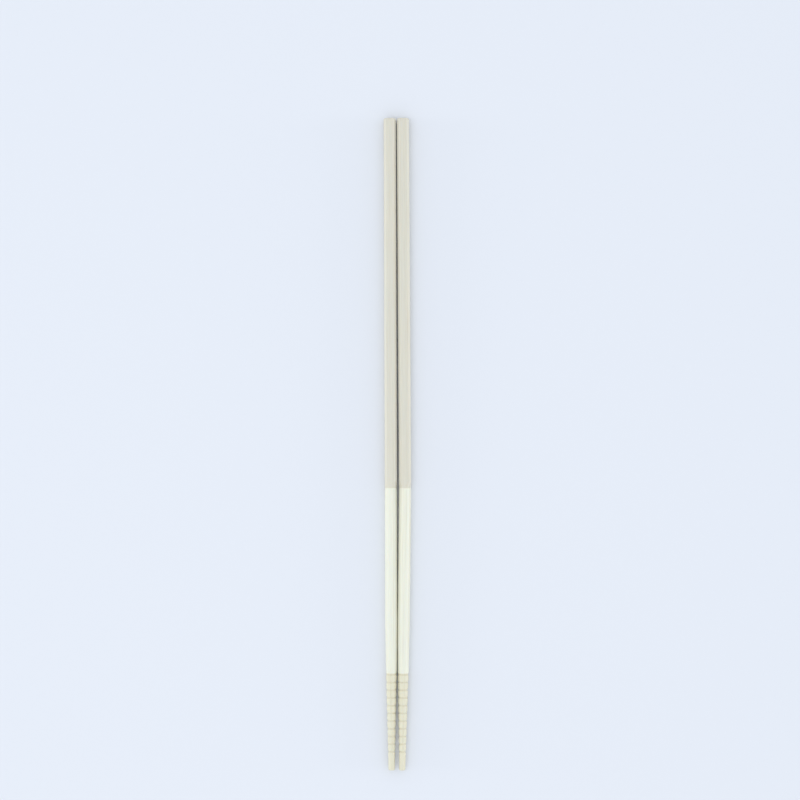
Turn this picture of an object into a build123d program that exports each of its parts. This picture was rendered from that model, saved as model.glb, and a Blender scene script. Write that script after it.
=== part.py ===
"""A pair of long bamboo cooking chopsticks, lying side by side.

Each stick is one piece of bamboo. Its handle is a square bar with bevelled corners, and the rest of it
is turned round: a plain body, a grooved length that grips the food, and a smooth tip.
Millimetres, +Z up. The sticks lie along Y, with their handles towards +Y and their flat undersides
on the plane Z = 0. The origin is at the middle of the pair, on that plane.
"""

from build123d import *
import os
from math import atan, degrees, radians, tan

# The whole stick
LENGTH = 330.0
HANDLE_LENGTH = 187.0

# Handle: a square bar with bevelled corners
HANDLE_WIDTH = 6.2
CORNER_BEVEL = 1.25
BEVEL_EDGE_ROUNDING = 0.35
END_CORNER_ROUNDING = 0.9
END_CROWN = 0.25

# Shoulder: a shallow cone trims the corners of the bar down to a neck, and the body swells out of it
SHOULDER_CONE_DEG = 8.0
SHOULDER_STEP = 0.05
NECK_DEPTH = 0.15
NECK_LENGTH = 1.5
ROOT_LENGTH = 1.0

# Grip and tip. The grip's end lies a little below the body, which swells out of it in one soft curve.
SWELL_DEPTH = 0.325
GRIP_TIP_DIAMETER = 3.5
TIP_DIAMETER = 3.35
TIP_LENGTH = 7.5
TIP_ROUNDING = 0.6

# Grooves of the grip
GROOVE_COUNT = 11
GROOVE_PITCH = 3.91
GROOVE_WIDTH = 1.3
GROOVE_DEPTH = 0.28
BEAD_CROWN = 0.05

# How the sticks lie: clear gaps between the two at their handle ends, at the shoulders, where the
# bodies are still full and at the tips. The left stick is straight and lies a little askew. The right
# one takes up the gaps, because its turned part leans towards the other from the shoulder on.
HANDLE_END_GAP = 0.44
SHOULDER_GAP = 1.0
BODY_GAP = 0.13
TIP_GAP = 1.9
LEFT_SKEW_DEG = 0.17

# Sizes that follow. The body is turned down just to the flats of the bar.
BODY_DIAMETER = HANDLE_WIDTH
NECK_DIAMETER = BODY_DIAMETER - 2 * NECK_DEPTH
GRIP_END_DIAMETER = BODY_DIAMETER - 2 * SWELL_DEPTH
BODY_LENGTH = LENGTH - HANDLE_LENGTH
GRIP_LENGTH = GROOVE_COUNT * GROOVE_PITCH
TIP_TO_GRIP_END = TIP_LENGTH + GRIP_LENGTH
GRIP_SLOPE = (GRIP_END_DIAMETER - GRIP_TIP_DIAMETER) / 2 / GRIP_LENGTH
TIP_TO_FULL_BODY = TIP_TO_GRIP_END + 2 * SWELL_DEPTH / GRIP_SLOPE
SHOULDER_SPACING = HANDLE_WIDTH + SHOULDER_GAP


def rounded_end(width, length):
    """A bar's outline from its square end at y = 0 to its crowned and rounded end at y = length."""
    half = width / 2
    with BuildSketch() as outline:
        with BuildLine():
            Polyline((-half, length - END_CROWN), (-half, 0), (half, 0), (half, length - END_CROWN))
            ThreePointArc((half, length - END_CROWN), (0, length), (-half, length - END_CROWN))
        make_face()
        fillet(outline.vertices().sort_by(Axis.Y)[-2:], END_CORNER_ROUNDING)
    return outline.sketch


def handle_section():
    """The square with bevelled corners, each edge of the bevels slightly rounded."""
    with BuildSketch() as section:
        Rectangle(HANDLE_WIDTH, HANDLE_WIDTH)
        chamfer(section.vertices(), CORNER_BEVEL)
        fillet(section.vertices(), BEVEL_EDGE_ROUNDING)
    return section.sketch


def shoulder_cone():
    """What turning leaves of the handle: everything inside a shallow cone that starts at the shoulder."""
    start = NECK_DIAMETER / 2 + SHOULDER_STEP
    clear = HANDLE_WIDTH
    cone_length = (clear - start) / tan(radians(SHOULDER_CONE_DEG))
    with BuildSketch() as half_section:
        with BuildLine():
            Polyline(
                (0, 0),
                (start, 0),
                (clear, cone_length),
                (clear, HANDLE_LENGTH + clear),
                (0, HANDLE_LENGTH + clear),
                close=True,
            )
        make_face()
    return revolve(half_section.sketch, Axis.Y)


def handle():
    """The bevelled bar from the shoulder at y = 0 to its end, rounded in plan and in side view."""
    along_y = Plane(origin=(0, 0, 0), x_dir=(1, 0, 0), z_dir=(0, 1, 0))
    bar = extrude(along_y * handle_section(), HANDLE_LENGTH)
    in_plan = extrude(rounded_end(HANDLE_WIDTH, HANDLE_LENGTH), HANDLE_WIDTH, both=True)
    in_side_view = in_plan.rotate(Axis.Y, 90)
    return bar & in_plan & in_side_view & shoulder_cone()


def grip_radius(distance):
    """Radius of the grip's cone, bead for bead, at a distance from the tip."""
    return GRIP_TIP_DIAMETER / 2 + (distance - TIP_LENGTH) * GRIP_SLOPE


def grip_outline():
    """One bead and one groove after the other, from the tip's end of the grip to the body.

    Points are (radius, distance from the tip). Each pitch ends half a bead after its groove.
    """
    bead_start = TIP_LENGTH
    for groove in range(GROOVE_COUNT):
        middle = TIP_LENGTH + (groove + 0.5) * GROOVE_PITCH
        low, high = middle - GROOVE_WIDTH / 2, middle + GROOVE_WIDTH / 2
        if groove:
            crest = (bead_start + low) / 2
            ThreePointArc(
                (grip_radius(bead_start), bead_start),
                (grip_radius(crest) + BEAD_CROWN, crest),
                (grip_radius(low), low),
            )
        else:
            Line((grip_radius(bead_start), bead_start), (grip_radius(low), low))
        bottom = (grip_radius(middle) - GROOVE_DEPTH, middle)
        Polyline((grip_radius(low), low), bottom, (grip_radius(high), high))
        bead_start = high
    Line((grip_radius(bead_start), bead_start), (grip_radius(TIP_TO_GRIP_END), TIP_TO_GRIP_END))


def turned_part():
    """The round part of the stick about Y, from its tip at y = -BODY_LENGTH to its root in the handle."""
    body_radius = BODY_DIAMETER / 2
    neck_radius = NECK_DIAMETER / 2
    grip_end = (GRIP_END_DIAMETER / 2, TIP_TO_GRIP_END)
    full_body = (body_radius, TIP_TO_FULL_BODY)
    with BuildSketch() as half_section:
        with BuildLine():
            Polyline((0, BODY_LENGTH + ROOT_LENGTH), (0, 0), (TIP_DIAMETER / 2, 0))
            Line((TIP_DIAMETER / 2, 0), (GRIP_TIP_DIAMETER / 2, TIP_LENGTH))
            grip_outline()
            TangentArc(grip_end, full_body, tangent=(GRIP_SLOPE, 1))
            Polyline(
                full_body,
                (body_radius, BODY_LENGTH - NECK_LENGTH),
                (neck_radius, BODY_LENGTH),
                (neck_radius, BODY_LENGTH + ROOT_LENGTH),
                (0, BODY_LENGTH + ROOT_LENGTH),
            )
        make_face()
        tip_corner = half_section.vertices().sort_by_distance((TIP_DIAMETER / 2, 0))[0]
        fillet(tip_corner, TIP_ROUNDING)
    return Pos(0, -BODY_LENGTH, 0) * revolve(half_section.sketch, Axis.Y)


def chopstick(x, handle_turn, body_turn):
    """One stick with its shoulder at x. The turns are anticlockwise degrees, seen from above."""
    turned = Rot(0, 0, body_turn) * turned_part()
    bar = Rot(0, 0, handle_turn) * handle()
    return Pos(x, 0, 0) * (bar + turned)


def right_stick_turns():
    """The turns of the right stick's handle and body that leave the named gaps to the left one."""
    handle_slope = (SHOULDER_GAP - HANDLE_END_GAP) / HANDLE_LENGTH
    until_bodies_meet = (SHOULDER_GAP - BODY_GAP) / (BODY_LENGTH - TIP_TO_FULL_BODY)
    until_tips_meet = (SHOULDER_SPACING - TIP_DIAMETER - TIP_GAP) / BODY_LENGTH
    body_slope = min(until_bodies_meet, until_tips_meet)
    return LEFT_SKEW_DEG + degrees(atan(handle_slope)), LEFT_SKEW_DEG - degrees(atan(body_slope))


def main():
    os.makedirs("parts", exist_ok=True)
    sticks = {
        "left_chopstick": chopstick(-SHOULDER_SPACING / 2, LEFT_SKEW_DEG, LEFT_SKEW_DEG),
        "right_chopstick": chopstick(SHOULDER_SPACING / 2, *right_stick_turns()),
    }
    box = Compound([stick.solid() for stick in sticks.values()]).bounding_box()
    to_origin = Pos(-box.center().X, -box.center().Y, -box.min.Z)
    for name, stick in sticks.items():
        export_step(to_origin * stick, f"parts/{name}.step")


main()
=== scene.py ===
"""A pair of long bamboo cooking chopsticks, finished as sanded bamboo and lit for a studio picture.

Each stick is drawn on the bench along +Y, with its tip at y = 0, and is then laid on the pair's own
centre line. The bench keeps every length simple: a place on the stick is its distance from the tip.
"""

import math

import bpy
from bpy.props import FloatProperty, FloatVectorProperty, IntProperty, PointerProperty
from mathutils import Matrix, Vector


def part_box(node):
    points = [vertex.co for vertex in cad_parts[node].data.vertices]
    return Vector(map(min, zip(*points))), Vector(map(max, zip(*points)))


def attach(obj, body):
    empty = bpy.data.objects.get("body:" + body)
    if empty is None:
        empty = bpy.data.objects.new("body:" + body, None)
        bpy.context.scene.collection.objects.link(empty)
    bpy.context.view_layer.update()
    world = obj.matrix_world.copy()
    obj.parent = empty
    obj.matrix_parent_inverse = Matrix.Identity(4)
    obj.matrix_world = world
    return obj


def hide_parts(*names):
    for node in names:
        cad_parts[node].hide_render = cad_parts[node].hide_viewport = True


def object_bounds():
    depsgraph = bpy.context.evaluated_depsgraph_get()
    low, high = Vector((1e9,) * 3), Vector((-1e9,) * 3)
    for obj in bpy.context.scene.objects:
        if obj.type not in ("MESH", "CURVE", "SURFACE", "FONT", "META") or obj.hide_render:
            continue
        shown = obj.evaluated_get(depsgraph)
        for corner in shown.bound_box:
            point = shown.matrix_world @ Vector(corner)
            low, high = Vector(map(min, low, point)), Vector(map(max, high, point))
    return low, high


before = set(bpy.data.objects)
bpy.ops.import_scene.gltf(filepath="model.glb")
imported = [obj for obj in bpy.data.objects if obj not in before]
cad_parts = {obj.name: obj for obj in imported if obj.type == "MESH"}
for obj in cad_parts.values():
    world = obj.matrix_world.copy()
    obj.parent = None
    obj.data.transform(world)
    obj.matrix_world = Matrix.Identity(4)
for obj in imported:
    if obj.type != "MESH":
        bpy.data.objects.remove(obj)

CAD_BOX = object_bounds()

bl_info = {
    "name": "Bamboo Cooking Chopsticks",
    "version": (1, 0, 0),
    "blender": (4, 5, 0),
    "location": "3D View > Sidebar > Chopsticks",
    "description": "Models a pair of turned bamboo cooking chopsticks and the studio they lie in",
    "category": "Add Mesh",
}

MM = 0.001
LEFT, RIGHT = "left_chopstick", "right_chopstick"

# How finely shapes are divided
ROUND_STEPS = 96
BAR_STEPS = 60
BODY_STEPS = 24
SWELL_STEPS = 12
SHARP_EDGE = math.radians(22)
TINY = 0.01 * MM

# The piece of culm that each stick is split from: its own grain, and the degrees its skin side is turned
CULM_PIECES = {LEFT: (11.0, 55.0), RIGHT: (47.0, -20.0)}

SENSOR_WIDTH = 36.0


def node_span(node, axis):
    low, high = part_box(node)
    return high[axis] - low[axis]


class ChopstickShape(bpy.types.PropertyGroup):
    """Sizes of one chopstick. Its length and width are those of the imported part."""

    length: FloatProperty(
        name="Length",
        description="From the tip to the end of the handle",
        default=node_span(LEFT, 1),
        unit="LENGTH",
    )
    handle_length: FloatProperty(
        name="Handle length",
        description="Length of the square bar, up to the shoulder where the turned part starts",
        default=187 * MM,
        unit="LENGTH",
    )
    handle_width: FloatProperty(
        name="Handle width",
        description="Width of the square bar across its flats",
        default=node_span(LEFT, 2),
        unit="LENGTH",
    )
    corner_bevel: FloatProperty(
        name="Corner bevel",
        description="How much of each flat the corner bevels take away",
        default=1.25 * MM,
        unit="LENGTH",
    )
    edge_rounding: FloatProperty(
        name="Edge rounding",
        description="Radius of the sanded edges between flats and bevels",
        default=0.35 * MM,
        unit="LENGTH",
    )
    end_rounding: FloatProperty(
        name="End rounding",
        description="Radius round the end of the handle",
        default=0.9 * MM,
        unit="LENGTH",
    )
    end_crown: FloatProperty(
        name="End crown",
        description="How far the middle of the handle's end stands out",
        default=0.25 * MM,
        unit="LENGTH",
    )
    shoulder_cone: FloatProperty(
        name="Shoulder cone",
        description="Slope of the cone that trims the bar's corners at the shoulder",
        default=math.radians(8),
        subtype="ANGLE",
    )
    shoulder_step: FloatProperty(
        name="Shoulder step",
        description="How far the cone's start stands out from the neck",
        default=0.05 * MM,
        unit="LENGTH",
    )
    neck_depth: FloatProperty(
        name="Neck depth",
        description="How far the neck below the shoulder lies under the body",
        default=0.15 * MM,
        unit="LENGTH",
    )
    neck_length: FloatProperty(
        name="Neck length",
        description="Length over which the body swells out of the neck",
        default=1.5 * MM,
        unit="LENGTH",
    )
    swell_depth: FloatProperty(
        name="Swell depth",
        description="How far the grip's end lies below the full body",
        default=0.325 * MM,
        unit="LENGTH",
    )
    grip_tip_diameter: FloatProperty(
        name="Grip diameter at tip",
        description="Diameter of the grip where the smooth tip starts",
        default=3.5 * MM,
        unit="LENGTH",
    )
    tip_diameter: FloatProperty(
        name="Tip diameter", description="Diameter of the very tip", default=3.35 * MM, unit="LENGTH"
    )
    tip_length: FloatProperty(
        name="Tip length", description="Length of the smooth tip", default=7.5 * MM, unit="LENGTH"
    )
    tip_rounding: FloatProperty(
        name="Tip rounding", description="Radius round the tip's end", default=0.6 * MM, unit="LENGTH"
    )
    groove_count: IntProperty(
        name="Grooves", description="How many grooves the grip has", default=11, min=1
    )
    groove_pitch: FloatProperty(
        name="Groove pitch",
        description="Distance from one groove to the next",
        default=3.91 * MM,
        unit="LENGTH",
    )
    groove_width: FloatProperty(
        name="Groove width", description="Width of each groove", default=1.3 * MM, unit="LENGTH"
    )
    groove_depth: FloatProperty(
        name="Groove depth", description="Depth of each groove", default=0.28 * MM, unit="LENGTH"
    )
    groove_rounding: FloatProperty(
        name="Groove rounding",
        description="How far the lips and bottoms of the grooves are rounded",
        default=0.12 * MM,
        unit="LENGTH",
    )
    bead_crown: FloatProperty(
        name="Bead crown",
        description="How far the beads between the grooves are rounded out",
        default=0.05 * MM,
        unit="LENGTH",
    )
    bend_length: FloatProperty(
        name="Bend length",
        description="Length of stick, centred on the shoulder, over which it bends",
        default=40 * MM,
        unit="LENGTH",
    )
    unevenness: FloatProperty(
        name="Unevenness",
        description="How deep the hand-sanded hollows of the surface are",
        default=0.05 * MM,
        unit="LENGTH",
    )
    hollow_size: FloatProperty(
        name="Hollow size",
        description="How long and wide the hand-sanded hollows are",
        default=9 * MM,
        unit="LENGTH",
    )


class BambooFinish(bpy.types.PropertyGroup):
    """Colours and scale of the sanded bamboo."""

    handle_colour: FloatVectorProperty(
        name="Handle",
        description="Planed bar",
        default=(0.66, 0.625, 0.525),
        subtype="COLOR",
        size=3,
    )
    body_colour: FloatVectorProperty(
        name="Body",
        description="Freshly turned body",
        default=(0.775, 0.765, 0.645),
        subtype="COLOR",
        size=3,
    )
    grip_colour: FloatVectorProperty(
        name="Grip",
        description="Grooved grip and tip",
        default=(0.72, 0.68, 0.525),
        subtype="COLOR",
        size=3,
    )
    fibre_colour: FloatVectorProperty(
        name="Fibre bundles",
        description="Tan of the fibre bundles that run along the bamboo",
        default=(0.52, 0.44, 0.29),
        subtype="COLOR",
        size=3,
    )
    bundle_spacing: FloatProperty(
        name="Bundle spacing",
        description="Distance between fibre bundles across the stick",
        default=0.75 * MM,
        unit="LENGTH",
    )
    roughness: FloatProperty(
        name="Roughness", description="Roughness of the sanded surface", default=0.46, min=0, max=1
    )


class StudioSettings(bpy.types.PropertyGroup):
    """Camera, floor and lights."""

    floor_colour: FloatVectorProperty(
        name="Floor",
        description="Pale paper",
        default=(0.735, 0.745, 0.765),
        subtype="COLOR",
        size=3,
    )
    floor_size: FloatProperty(name="Floor size", description="Side of the floor", default=24, unit="LENGTH")
    sky_colour: FloatVectorProperty(
        name="Surround",
        description="Light of the surround",
        default=(0.84, 0.89, 0.97),
        subtype="COLOR",
        size=3,
    )
    sky_strength: FloatProperty(
        name="Surround strength", description="Strength of the soft light all round", default=1.12
    )
    light_colour: FloatVectorProperty(
        name="Lights",
        description="Cool white of the softbox and the side lights",
        default=(0.94, 0.97, 1.0),
        subtype="COLOR",
        size=3,
    )
    key_power: FloatProperty(
        name="Overhead softbox", description="Power of the overhead softbox", default=2.2, unit="POWER"
    )
    key_place: FloatVectorProperty(
        name="Overhead softbox place",
        description="Where the softbox hangs: overhead, a little to the left",
        default=(-0.35, -0.1, 1.3),
        unit="LENGTH",
        size=3,
    )
    key_size: FloatVectorProperty(
        name="Overhead softbox size",
        description="Width and length of the softbox",
        default=(0.6, 1.0),
        unit="LENGTH",
        size=2,
    )
    side_strength: FloatProperty(
        name="Side light", description="Strength of the low light from each side", default=0.55
    )
    side_height: FloatProperty(
        name="Side light height",
        description="Angle of the low side lights over the floor",
        default=math.radians(7),
        subtype="ANGLE",
    )
    side_softness: FloatProperty(
        name="Side light softness",
        description="How wide each side light looks, as an angle",
        default=math.radians(14),
        subtype="ANGLE",
    )
    lens: FloatProperty(name="Lens", description="Focal length in millimetres", default=85)
    field: FloatProperty(
        name="Field", description="Width that the camera sees", default=404.8 * MM, unit="LENGTH"
    )
    aim_right: FloatProperty(
        name="Aim right",
        description="How far right of the pair's middle the camera looks",
        default=1.3 * MM,
        unit="LENGTH",
    )
    aim_up: FloatProperty(
        name="Aim up",
        description="How far past the pair's middle, towards the handles, the camera looks",
        default=22.3 * MM,
        unit="LENGTH",
    )


# ---------------------------------------------------------------- bench tools


def clear_selection():
    if bpy.context.mode != "OBJECT":
        bpy.ops.object.mode_set(mode="OBJECT")
    bpy.ops.object.select_all(action="DESELECT")


def make_active(piece):
    clear_selection()
    piece.select_set(True)
    bpy.context.view_layer.objects.active = piece


def draw_outline(name, points):
    """A chain of edges through (distance across, distance along) points, drawn by extruding one vertex."""
    clear_selection()
    across, along = points[0]
    bpy.ops.mesh.primitive_plane_add(size=MM, location=(across, along, 0))
    outline = bpy.context.object
    outline.name = name
    bpy.ops.object.transform_apply(location=True, rotation=True, scale=True)
    bpy.ops.object.mode_set(mode="EDIT")
    bpy.ops.mesh.select_all(action="SELECT")
    bpy.ops.mesh.merge(type="CENTER")
    for (x, y), (next_x, next_y) in zip(points, points[1:]):
        bpy.ops.mesh.extrude_region_move(
            TRANSFORM_OT_translate={"value": (next_x - x, next_y - y, 0)}
        )
    return outline


def select_vertices(piece, wanted):
    """Selects the vertices of the piece in edit mode whose place passes the test."""
    bpy.ops.object.mode_set(mode="OBJECT")
    mesh = piece.data
    mesh.polygons.foreach_set("select", [False] * len(mesh.polygons))
    mesh.edges.foreach_set("select", [False] * len(mesh.edges))
    mesh.vertices.foreach_set("select", [bool(wanted(v.co)) for v in mesh.vertices])
    bpy.ops.object.mode_set(mode="EDIT")
    bpy.ops.mesh.select_mode(type="VERT")


def spin_round():
    """Spins the outline in edit mode round the stick's axis into a closed shape."""
    bpy.ops.mesh.select_all(action="SELECT")
    bpy.ops.mesh.spin(steps=ROUND_STEPS, angle=2 * math.pi, center=(0, 0, 0), axis=(0, 1, 0))
    bpy.ops.mesh.select_all(action="SELECT")
    bpy.ops.mesh.remove_doubles(threshold=0.001 * MM)
    bpy.ops.mesh.normals_make_consistent(inside=False)
    bpy.ops.object.mode_set(mode="OBJECT")


def apply_modifier(piece, name, kind, **settings):
    make_active(piece)
    modifier = piece.modifiers.new(name, kind)
    for key, value in settings.items():
        setattr(modifier, key, value)
    bpy.ops.object.modifier_apply(modifier=modifier.name)


def combine(piece, other, operation):
    """Boolean of the two, which takes the other piece away."""
    apply_modifier(piece, operation.title(), "BOOLEAN", operation=operation, object=other, solver="EXACT")
    bpy.data.objects.remove(other)


# ---------------------------------------------------------------- one chopstick


def grip_end(shape):
    return shape.tip_length + shape.groove_count * shape.groove_pitch


def grip_slope(shape):
    """How fast the grip's radius grows along the stick."""
    end_radius = shape.handle_width / 2 - shape.swell_depth
    return (end_radius - shape.grip_tip_diameter / 2) / (shape.groove_count * shape.groove_pitch)


def grip_radius(shape, along):
    return shape.grip_tip_diameter / 2 + (along - shape.tip_length) * grip_slope(shape)


def groove_middles(shape):
    return [shape.tip_length + (n + 0.5) * shape.groove_pitch for n in range(shape.groove_count)]


def on_groove(shape, place):
    """Whether a point of the outline is the bottom or a lip of a groove."""
    away = min(abs(place.y - middle) for middle in groove_middles(shape))
    return away < TINY or abs(away - shape.groove_width / 2) < TINY


def grip_outline(shape):
    """Groove, bead, groove and so on, from the tip's end of the grip to its other end."""
    half_groove = shape.groove_width / 2
    bead_length = shape.groove_pitch - shape.groove_width
    points = [(grip_radius(shape, shape.tip_length), shape.tip_length)]
    for number, middle in enumerate(groove_middles(shape)):
        if number:
            for share in (0.25, 0.5, 0.75):
                along = middle - half_groove - bead_length * (1 - share)
                crown = shape.bead_crown * 4 * share * (1 - share)
                points.append((grip_radius(shape, along) + crown, along))
        points.append((grip_radius(shape, middle - half_groove), middle - half_groove))
        points.append((grip_radius(shape, middle) - shape.groove_depth, middle))
        points.append((grip_radius(shape, middle + half_groove), middle + half_groove))
    points.append((grip_radius(shape, grip_end(shape)), grip_end(shape)))
    return points


def body_outline(shape, shoulder):
    """The swell from the grip to the full body, the long round body, the neck and its root in the bar."""
    radius = shape.handle_width / 2
    start = grip_end(shape)
    swell_length = 2 * shape.swell_depth / grip_slope(shape)
    points = []
    for step in range(1, SWELL_STEPS + 1):
        along = swell_length * step / SWELL_STEPS
        rise = grip_slope(shape) * along * (1 - along / 2 / swell_length)
        points.append((radius - shape.swell_depth + rise, start + along))
    first, last = start + swell_length, shoulder - shape.neck_length
    for step in range(1, BODY_STEPS + 1):
        points.append((radius, first + (last - first) * step / BODY_STEPS))
    neck = radius - shape.neck_depth
    root = shape.end_rounding
    return [*points, (neck, shoulder), (neck, shoulder + root), (0, shoulder + root)]


def turn_body(shape, shoulder):
    """Everything that is turned round: tip, grip, body and neck."""
    tip = [(0, 0), (shape.tip_diameter / 2, 0)]
    turned = draw_outline("turned_part", [*tip, *grip_outline(shape), *body_outline(shape, shoulder)])
    select_vertices(turned, lambda place: on_groove(shape, place))
    bpy.ops.mesh.bevel(offset=shape.groove_rounding, segments=2, affect="VERTICES")
    select_vertices(turned, lambda place: place.y < TINY and place.x > shape.tip_diameter / 4)
    bpy.ops.mesh.bevel(offset=shape.tip_rounding, segments=5, affect="VERTICES")
    spin_round()
    return turned


def bar_section(shape, shoulder):
    """The square with bevelled corners and sanded edges, as one face across the stick."""
    clear_selection()
    bpy.ops.mesh.primitive_plane_add(
        size=shape.handle_width, location=(0, shoulder, 0), rotation=(math.radians(90), 0, 0)
    )
    bar = bpy.context.object
    bpy.ops.object.transform_apply(location=True, rotation=True, scale=True)
    bpy.ops.object.mode_set(mode="EDIT")
    bpy.ops.mesh.select_all(action="SELECT")
    bpy.ops.mesh.bevel(offset=shape.corner_bevel, offset_type="OFFSET", segments=1, affect="VERTICES")
    bpy.ops.mesh.select_all(action="SELECT")
    rounding = shape.edge_rounding * math.tan(math.radians(22.5))
    bpy.ops.mesh.bevel(offset=rounding, offset_type="OFFSET", segments=3, affect="VERTICES")
    bpy.ops.mesh.select_all(action="SELECT")
    return bar


def bar_stations(shape, shoulder):
    """(distance from the tip, half width) of the rings along the bar, up to its crowned end."""
    half = shape.handle_width / 2
    straight = shape.length - shape.end_crown - shape.end_rounding - shoulder
    stations = [(shoulder + straight * n / BAR_STEPS, half) for n in range(1, BAR_STEPS + 1)]
    start = stations[-1][0]
    flat = half - shape.end_rounding
    for degrees in range(15, 91, 15):
        turn = math.radians(degrees)
        rounded = shape.end_rounding * math.cos(turn)
        stations.append((start + shape.end_rounding * math.sin(turn), flat + rounded))
    top = stations[-1][0]
    for share in (0.75, 0.5, 0.25, 0.02):
        stations.append((top + shape.end_crown * (1 - share * share), flat * share))
    return stations


def plane_bar(shape, shoulder):
    """The bevelled bar, drawn out ring by ring from its section to its crowned end."""
    bar = bar_section(shape, shoulder)
    along, half = shoulder, shape.handle_width / 2
    for next_along, next_half in bar_stations(shape, shoulder):
        bpy.ops.mesh.extrude_region_move(TRANSFORM_OT_translate={"value": (0, next_along - along, 0)})
        factor = next_half / half
        bpy.ops.transform.resize(value=(factor, 1, factor), center_override=(0, next_along, 0))
        along, half = next_along, next_half
    bpy.ops.mesh.select_all(action="SELECT")
    bpy.ops.mesh.normals_make_consistent(inside=False)
    bpy.ops.object.mode_set(mode="OBJECT")
    return bar


def trim_shoulder(bar, shape, shoulder):
    """Cuts the bar's corners back to a shallow cone, as turning leaves them."""
    start = shape.handle_width / 2 - shape.neck_depth + shape.shoulder_step
    clear = shape.handle_width
    cone_length = (clear - start) / math.tan(shape.shoulder_cone)
    end = shape.length + clear
    outline = [
        (0, shoulder),
        (start, shoulder),
        (clear, shoulder + cone_length),
        (clear, end),
        (0, end),
    ]
    cone = draw_outline("shoulder_cone", outline)
    spin_round()
    combine(bar, cone, "INTERSECT")


def keep_grain(stick):
    """Stores each vertex's place on the bench, in millimetres, for the bamboo's grain to follow."""
    mesh = stick.data
    grain = mesh.attributes.new("grain", "FLOAT_VECTOR", "POINT")
    grain.data.foreach_set("vector", [value / MM for v in mesh.vertices for value in v.co])


def middle_of(node, low, high):
    """Middle of a packed stick between two places along Y."""
    places = [v.co.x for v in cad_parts[node].data.vertices if low <= v.co.y <= high]
    return (min(places) + max(places)) / 2


def centre_line(node, shape):
    """The stick's own line from its tip to its end: straight, but for a soft bend at the shoulder."""
    low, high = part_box(node)
    tip, end, level = low.y, high.y, (low.z + high.z) / 2
    shoulder = end - shape.handle_length
    reach = shape.end_rounding
    tip_x = middle_of(node, tip, tip + shape.tip_rounding)
    shoulder_x = middle_of(node, shoulder - reach, shoulder + reach / 2)
    end_x = middle_of(node, end - reach, end)
    points = [(tip_x, tip), (shoulder_x, shoulder), (end_x, end)]

    def beside(index, other):
        """A point on the line from one point towards another, a bend length away."""
        (x, y), (to_x, to_y) = points[index], points[other]
        share = shape.bend_length / abs(to_y - y)
        return (x + (to_x - x) * share, y + (to_y - y) * share)

    route = [points[0], beside(1, 0), points[1], beside(1, 2), points[2]]
    curve = bpy.data.curves.new(node + "_line", "CURVE")
    curve.dimensions = "2D"
    curve.resolution_u = 64
    spline = curve.splines.new("NURBS")
    spline.points.add(len(route) - 1)
    for point, (x, y) in zip(spline.points, route):
        point.co = (x, y, 0, 1)
    spline.use_endpoint_u = True
    spline.order_u = 3
    line = bpy.data.objects.new(node + "_line", curve)
    bpy.context.collection.objects.link(line)
    return line, level


def lay_in_place(stick, node, shape):
    """Bends the finished stick onto its centre line and raises it to its place."""
    line, level = centre_line(node, shape)
    apply_modifier(stick, "Centre line", "CURVE", object=line, deform_axis="POS_Y")
    bpy.data.objects.remove(line)
    make_active(stick)
    stick.location.z = level
    bpy.ops.object.transform_apply(location=True, rotation=True, scale=True)


def sand_unevenly(stick, shape):
    """Shallow, soft hollows such as hand sanding leaves. They only ever go inwards."""
    hollows = bpy.data.textures.new("sanding", "CLOUDS")
    hollows.noise_scale = shape.hollow_size
    hollows.noise_depth = 1
    apply_modifier(
        stick, "Sanding", "DISPLACE", texture=hollows, strength=shape.unevenness, mid_level=1.0,
        texture_coords="LOCAL",
    )


def make_stick(node, shape):
    shoulder = shape.length - shape.handle_length
    bar = plane_bar(shape, shoulder)
    trim_shoulder(bar, shape, shoulder)
    combine(bar, turn_body(shape, shoulder), "UNION")
    stick = bar
    stick.name = stick.data.name = node.replace("chopstick", "stick")
    sand_unevenly(stick, shape)
    make_active(stick)
    bpy.ops.object.shade_smooth_by_angle(angle=SHARP_EDGE)
    keep_grain(stick)
    lay_in_place(stick, node, shape)
    return stick


# ---------------------------------------------------------------- bamboo


def add_node(tree, kind, label, settings=None, **inputs):
    """Adds a shader node. Inputs are values, or sockets to link from; i0 is the first input."""
    node = tree.nodes.new(kind)
    node.label = label
    for key, value in (settings or {}).items():
        setattr(node, key, value)
    for key, value in inputs.items():
        numbered = key[0] == "i" and key[1:].isdigit()
        socket = node.inputs[int(key[1:]) if numbered else key.replace("_", " ")]
        if isinstance(value, bpy.types.NodeSocket):
            tree.links.new(value, socket)
        else:
            socket.default_value = value
    return node


def math_node(tree, label, operation, first, second=0.0, third=0.0, clamp=False):
    node = add_node(
        tree, "ShaderNodeMath", label, {"operation": operation, "use_clamp": clamp},
        i0=first, i1=second, i2=third,
    )
    return node.outputs[0]


def range_node(tree, label, value, low, high, to_low=0.0, to_high=1.0):
    """Smoothly maps low to high onto to_low to to_high."""
    node = add_node(
        tree, "ShaderNodeMapRange", label, {"interpolation_type": "SMOOTHSTEP"},
        Value=value, From_Min=low, From_Max=high, To_Min=to_low, To_Max=to_high,
    )
    return node.outputs["Result"]


def mix_node(tree, label, factor, first, second, blend="MIX"):
    node = add_node(tree, "ShaderNodeMix", label, {"data_type": "RGBA", "blend_type": blend})
    for socket, value in ((node.inputs[0], factor), (node.inputs[6], first), (node.inputs[7], second)):
        if isinstance(value, bpy.types.NodeSocket):
            tree.links.new(value, socket)
        else:
            socket.default_value = value
    return node.outputs[2]


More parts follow.
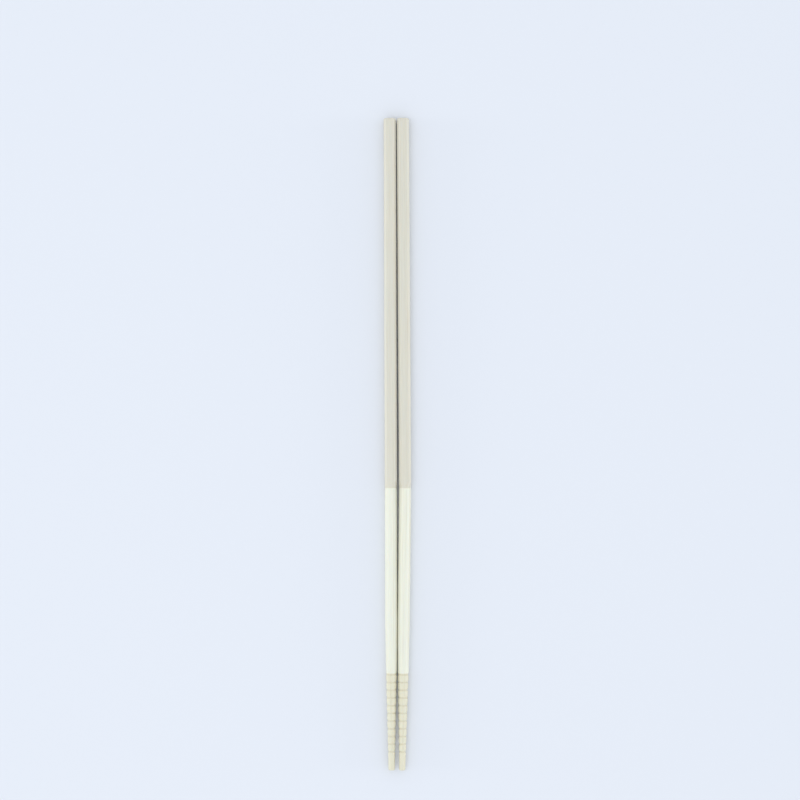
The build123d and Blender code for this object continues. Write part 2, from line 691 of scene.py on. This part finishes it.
def noise_node(tree, label, vector, scale, detail=2.0, offset=(0.0, 0.0, 0.0)):
    """Noise on bench millimetres, with a scale of its own across and along the stick."""
    across, along = scale
    place = add_node(
        tree, "ShaderNodeMapping", label, Vector=vector, Location=offset, Scale=(across, along, across)
    )
    noise = add_node(
        tree, "ShaderNodeTexNoise", label, {"normalize": True},
        Vector=place.outputs[0], Scale=1.0, Detail=detail, Roughness=0.55,
    )
    return noise


def colour(values):
    return (*values, 1.0)


def place_in_culm(tree, grain, seed, skin_turn):
    """The bench place, wandering with the fibres and turned so that +Z is towards the culm's skin."""
    wander = noise_node(tree, "Wander of the fibres", grain, (0.14, 0.008), 1.0, (seed, seed * 1.7, 0))
    centred = add_node(
        tree, "ShaderNodeVectorMath", "Centred", {"operation": "SUBTRACT"},
        i0=wander.outputs["Color"], i1=(0.5, 0.5, 0.5),
    )
    drift = add_node(
        tree, "ShaderNodeVectorMath", "Drift", {"operation": "MULTIPLY_ADD"},
        i0=centred.outputs[0], i1=(1.6, 0.0, 1.6), i2=grain,
    )
    turned = add_node(
        tree, "ShaderNodeVectorRotate", "Skin side", {"rotation_type": "Y_AXIS"},
        Vector=drift.outputs[0], Angle=math.radians(skin_turn),
    )
    return turned.outputs[0]


def fibre_bundles(tree, culm, finish, seed):
    """How strongly a fibre bundle shows: dots on the end grain that run on along the stick."""
    split = add_node(tree, "ShaderNodeSeparateXYZ", "Culm", Vector=culm)
    depth = split.outputs["Z"]
    depth_squared = math_node(tree, "Depth squared", "MULTIPLY", depth, depth)
    crowding = math_node(tree, "Crowding", "MULTIPLY_ADD", depth_squared, 0.055, depth)
    section = add_node(tree, "ShaderNodeCombineXYZ", "Section", X=split.outputs["X"], Y=crowding)
    moved = add_node(
        tree, "ShaderNodeVectorMath", "Piece of culm", {"operation": "ADD"}, i0=section.outputs[0],
        i1=(seed * 3.1, seed * 2.3, 0),
    )
    dots = add_node(
        tree, "ShaderNodeTexVoronoi", "Fibre bundles", {"voronoi_dimensions": "2D"},
        Vector=moved.outputs[0], Scale=MM / finish.bundle_spacing, Randomness=0.75,
    )
    dot = range_node(tree, "Bundle", dots.outputs["Distance"], 0.36, 0.10)
    own = add_node(tree, "ShaderNodeSeparateColor", "Bundle's own", Color=dots.outputs["Color"])
    runs = noise_node(tree, "Runs of darker fibre", culm, (0.9, 0.022), 1.0, (0, seed, 0))
    strength = math_node(
        tree, "Fibre strength", "MULTIPLY",
        range_node(tree, "Darker run", runs.outputs["Fac"], 0.36, 0.66, 0.25, 1.0),
        range_node(tree, "Darker bundle", own.outputs[0], 0.0, 1.0, 0.35, 1.0),
    )
    return math_node(tree, "Bundle shown", "MULTIPLY", dot, strength)


def groove_share(tree, along, in_grip, shape):
    """1 at the bottom of a groove, and 0 on the beads and everywhere outside the grip."""
    half = shape.groove_width / 2 / MM
    pitch = shape.groove_pitch / MM
    from_first = math_node(tree, "From the tip", "SUBTRACT", along, shape.tip_length / MM + pitch / 2)
    nearest = math_node(tree, "To nearest groove", "PINGPONG", from_first, pitch / 2)
    groove = range_node(tree, "Groove", nearest, half, half * 0.25)
    past_tip = math_node(tree, "Past the tip", "GREATER_THAN", along, shape.tip_length / MM)
    grooved = math_node(tree, "Grooved", "MULTIPLY", in_grip, past_tip)
    return math_node(tree, "Groove shown", "MULTIPLY", groove, grooved)


def fibre_tint_or_painted_shade(tree, label, base, share, amount, finish):
    """The base colour with an amount of the fibre colour where the share is 1: real tint for the bundles
    and grooves, painted shade for the line at the shoulder.
    """
    factor = math_node(tree, label, "MULTIPLY", share, amount)
    return mix_node(tree, label, factor, base, colour(finish.fibre_colour))


def bamboo(name, shape, finish, seed, skin_turn):
    """Sanded bamboo: fibre bundles run along the stick and lie closer together towards the culm's skin.

    seed picks the piece of culm, and skin_turn is the way the skin side faces, round the stick.
    Numbers for places are bench millimetres.
    """
    material = bpy.data.materials.new(name)
    material.use_nodes = True
    tree = material.node_tree
    tree.nodes.clear()
    bench = add_node(tree, "ShaderNodeAttribute", "Place on the bench", {"attribute_name": "grain"})
    grain = bench.outputs["Vector"]
    along = add_node(tree, "ShaderNodeSeparateXYZ", "Bench", Vector=grain).outputs["Y"]
    culm = place_in_culm(tree, grain, seed, skin_turn)
    bundle = fibre_bundles(tree, culm, finish, seed)
    fine = noise_node(tree, "Fine fibres", culm, (7.0, 0.07), 2.5, (seed, 0, 0)).outputs["Fac"]
    cloud = noise_node(tree, "Tone of the culm", grain, (0.22, 0.012), 2.0, (seed * 2.0, seed, 0))

    shoulder = (shape.length - shape.handle_length) / MM
    last_groove = groove_middles(shape)[-1] / MM
    last_lip = last_groove + shape.groove_width / 2 / MM
    in_grip = range_node(tree, "In the grip", along, last_lip + 0.25, last_lip - 0.15)
    groove = groove_share(tree, along, in_grip, shape)
    on_bar = range_node(tree, "On the bar", along, shoulder - 0.1, shoulder + 0.3)
    off_shoulder = math_node(tree, "Off the shoulder", "SUBTRACT", along, shoulder)
    from_shoulder = math_node(tree, "From the shoulder", "ABSOLUTE", off_shoulder)
    # Painted shade: a thin darker band either side of the shoulder, standing in for the shade on the
    # shoulder's slopes
    painted_shoulder_shade = range_node(tree, "Painted shade at the shoulder", from_shoulder, 0.45, 0.05)

    base = mix_node(
        tree, "Bar or body", on_bar, colour(finish.body_colour), colour(finish.handle_colour)
    )
    base = mix_node(tree, "Grip", in_grip, base, colour(finish.grip_colour))
    warm, cool = (1.03, 1.0, 0.94), (0.965, 0.985, 0.985)
    tone = mix_node(tree, "Warm or cool", cloud.outputs["Fac"], colour(warm), colour(cool))
    base = mix_node(tree, "Tone", 1.0, base, tone, "MULTIPLY")
    base = fibre_tint_or_painted_shade(tree, "Bundles", base, bundle, 0.42, finish)
    shade = range_node(tree, "Fine shade", fine, 0.3, 0.7, 0.955, 1.03)
    fine_shade = add_node(tree, "ShaderNodeCombineColor", "Fine shade", i0=shade, i1=shade, i2=shade)
    base = mix_node(tree, "Fine grain", 1.0, base, fine_shade.outputs[0], "MULTIPLY")
    base = fibre_tint_or_painted_shade(tree, "Groove tone", base, groove, 0.30, finish)
    # The fibre colour here is painted shade along the shoulder, not a stain or burnish
    base = fibre_tint_or_painted_shade(tree, "Shoulder painted shade", base, painted_shoulder_shade, 0.22, finish)

    rings = noise_node(tree, "Lathe rings", grain, (0.02, 3.4), 1.0, (0, seed, 0)).outputs["Fac"]
    turned_share = math_node(tree, "Turned", "SUBTRACT", 1.0, on_bar)
    ring_height = math_node(tree, "Ring height", "MULTIPLY", rings, turned_share)
    height = math_node(tree, "Bundles and fibres", "MULTIPLY_ADD", bundle, 0.7, fine)
    height = math_node(tree, "Surface height", "MULTIPLY_ADD", ring_height, 0.5, height)
    bump = add_node(
        tree, "ShaderNodeBump", "Sanded grain", Strength=0.6, Distance=0.03 * MM, Height=height
    )
    fibre_gloss = range_node(tree, "Fibre gloss", fine, 0.25, 0.75, 0.07, -0.05)
    dull_grooves = math_node(tree, "Groove roughness", "MULTIPLY_ADD", groove, 0.15, finish.roughness)
    roughness = math_node(tree, "Roughness", "ADD", fibre_gloss, dull_grooves)
    surface = add_node(
        tree, "ShaderNodeBsdfPrincipled", "Bamboo",
        Base_Color=base, Roughness=roughness, Normal=bump.outputs[0], IOR=1.46,
        Subsurface_Weight=0.12, Subsurface_Radius=(1.0, 0.72, 0.42), Subsurface_Scale=0.9 * MM,
    )
    output = add_node(tree, "ShaderNodeOutputMaterial", "Output", Surface=surface.outputs[0])
    output.is_active_output = True
    return material


# ---------------------------------------------------------------- studio


def paper(studio):
    """Matt pale paper with a barely visible tooth."""
    material = bpy.data.materials.new("pale_paper")
    material.use_nodes = True
    tree = material.node_tree
    tree.nodes.clear()
    place = add_node(tree, "ShaderNodeTexCoord", "Place").outputs["Object"]
    tooth = add_node(tree, "ShaderNodeTexNoise", "Tooth", Vector=place, Scale=900.0, Detail=3.0)
    bump = add_node(
        tree, "ShaderNodeBump", "Tooth", Strength=0.15, Distance=0.05 * MM, Height=tooth.outputs["Fac"]
    )
    surface = add_node(
        tree, "ShaderNodeBsdfPrincipled", "Paper", Base_Color=colour(studio.floor_colour), Roughness=0.85,
        Normal=bump.outputs[0],
    )
    add_node(tree, "ShaderNodeOutputMaterial", "Output", Surface=surface.outputs[0])
    return material


def lay_floor(studio):
    clear_selection()
    bpy.ops.mesh.primitive_plane_add(size=studio.floor_size, location=(0, 0, 0))
    floor = bpy.context.object
    floor.name = "floor"
    floor.data.materials.append(paper(studio))


def hang_softbox(studio):
    """One large soft light overhead, aimed at the origin."""
    clear_selection()
    bpy.ops.object.light_add(type="AREA", location=studio.key_place)
    light = bpy.context.object
    light.name = "overhead_softbox"
    light.data.shape = "RECTANGLE"
    light.data.size, light.data.size_y = studio.key_size
    light.data.energy = studio.key_power
    light.data.color = studio.light_colour
    light.visible_camera = False
    light.rotation_euler = (-light.location).to_track_quat("-Z", "Y").to_euler()


def add_side_light(name, side, studio):
    """Soft low light from one side (-1 is the left), which grazes the floor and brightens the flanks."""
    clear_selection()
    bpy.ops.object.light_add(type="SUN", location=(side, 0, math.tan(studio.side_height)))
    light = bpy.context.object
    light.name = name
    light.data.energy = studio.side_strength
    light.data.angle = studio.side_softness
    light.data.color = studio.light_colour
    light.rotation_euler = (-light.location).to_track_quat("-Z", "Y").to_euler()


def set_surround(studio):
    world = bpy.data.worlds.new("surround")
    bpy.context.scene.world = world
    world.use_nodes = True
    background = world.node_tree.nodes["Background"]
    background.inputs["Color"].default_value = colour(studio.sky_colour)
    background.inputs["Strength"].default_value = studio.sky_strength


def set_camera(studio):
    """Straight above the pair, which lies a little left of and below the middle of the view."""
    low, high = CAD_BOX
    pair = (low + high) / 2
    x, y = pair.x + studio.aim_right, pair.y + studio.aim_up
    distance = studio.field * studio.lens / SENSOR_WIDTH
    clear_selection()
    bpy.ops.object.camera_add(location=(x, y, pair.z + distance), rotation=(0, 0, 0))
    camera = bpy.context.object
    camera.name = "camera"
    camera.data.lens = studio.lens
    camera.data.sensor_width = SENSOR_WIDTH
    camera.data.clip_start, camera.data.clip_end = distance / 100, distance * 100
    bpy.context.scene.camera = camera


# ---------------------------------------------------------------- operators


class CHOPSTICKS_OT_sticks(bpy.types.Operator):
    """Model both chopsticks and give them their bamboo"""

    bl_idname = "chopsticks.sticks"
    bl_label = "Make the Chopsticks"

    def execute(self, context):
        shape = context.scene.chopstick_shape
        finish = context.scene.bamboo_finish
        for node, (seed, skin_turn) in CULM_PIECES.items():
            stick = make_stick(node, shape)
            wood = bamboo(stick.name + "_bamboo", shape, finish, seed, skin_turn)
            stick.data.materials.append(wood)
            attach(stick, "root")
            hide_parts(node)
        return {"FINISHED"}


class CHOPSTICKS_OT_studio(bpy.types.Operator):
    """Make the floor, the lights and the camera"""

    bl_idname = "chopsticks.studio"
    bl_label = "Make the Studio"

    def execute(self, context):
        studio = context.scene.chopstick_studio
        lay_floor(studio)
        set_surround(studio)
        hang_softbox(studio)
        add_side_light("left_side_light", -1, studio)
        add_side_light("right_side_light", 1, studio)
        set_camera(studio)
        context.scene.view_settings.view_transform = "Standard"
        return {"FINISHED"}


class CHOPSTICKS_PT_panel(bpy.types.Panel):
    bl_label = "Cooking Chopsticks"
    bl_space_type = "VIEW_3D"
    bl_region_type = "UI"
    bl_category = "Chopsticks"

    def draw(self, context):
        for operator in (CHOPSTICKS_OT_sticks, CHOPSTICKS_OT_studio):
            self.layout.operator(operator.bl_idname)


CLASSES = (
    ChopstickShape,
    BambooFinish,
    StudioSettings,
    CHOPSTICKS_OT_sticks,
    CHOPSTICKS_OT_studio,
    CHOPSTICKS_PT_panel,
)


def register():
    for cls in CLASSES:
        bpy.utils.register_class(cls)
    bpy.types.Scene.chopstick_shape = PointerProperty(type=ChopstickShape)
    bpy.types.Scene.bamboo_finish = PointerProperty(type=BambooFinish)
    bpy.types.Scene.chopstick_studio = PointerProperty(type=StudioSettings)


def unregister():
    del bpy.types.Scene.chopstick_studio
    del bpy.types.Scene.bamboo_finish
    del bpy.types.Scene.chopstick_shape
    for cls in reversed(CLASSES):
        bpy.utils.unregister_class(cls)


def main():
    register()
    bpy.ops.chopsticks.sticks()
    bpy.ops.chopsticks.studio()


if __name__ == "__main__":
    main()
